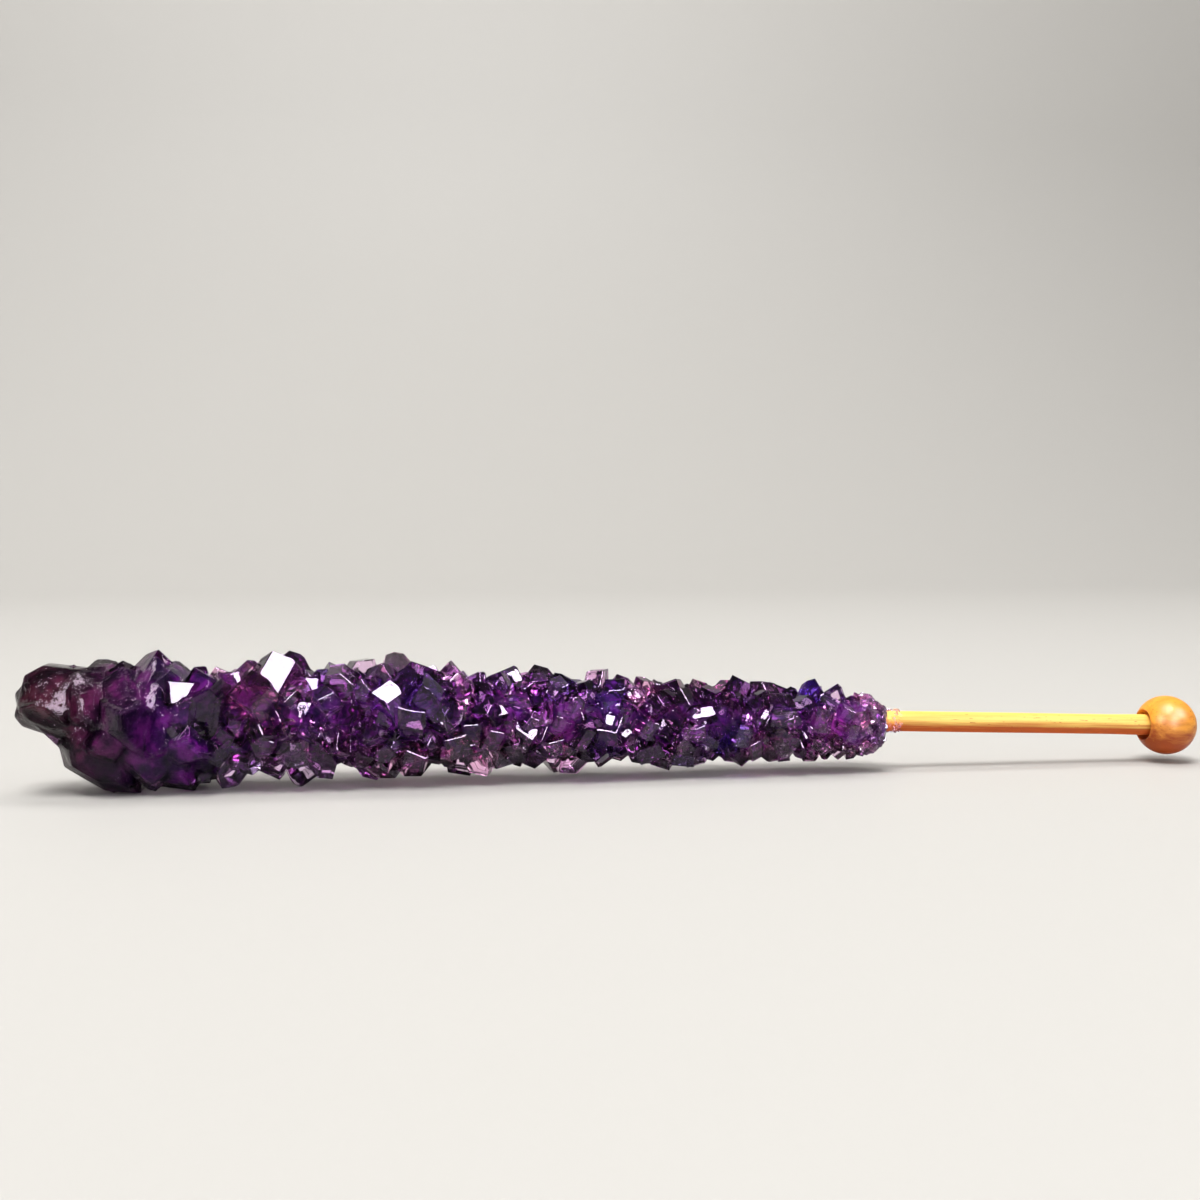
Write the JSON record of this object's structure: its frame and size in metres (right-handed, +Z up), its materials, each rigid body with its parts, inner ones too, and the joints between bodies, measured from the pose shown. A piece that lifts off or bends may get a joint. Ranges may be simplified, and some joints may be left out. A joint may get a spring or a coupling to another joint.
{
  "type": "rock candy stick",
  "caption": "Violet sugar crystals grown in a long tapering cluster round a thin wooden stick with a small wooden ball glued on its free end.",
  "frame": {"origin": "on the surface that the stick lies on, under the middle of its box", "axes": "+X along the stick from the thick end of the candy to the ball, +Z up; the stick's axis leans down 2 degrees towards the ball"},
  "size_m": [0.1832, 0.0216, 0.0209],
  "materials": {
    "candy": "clear violet sugar with smooth, glossy crystal faces",
    "stick_wood": "bare birch dowel, sanded, with fine lengthwise grain",
    "ball_wood": "honey-coloured turned birch, lightly polished"
  },
  "bodies": {
    "root": {"candy": "candy", "stick": "stick_wood", "ball": "ball_wood"}
  },
  "joints": []
}
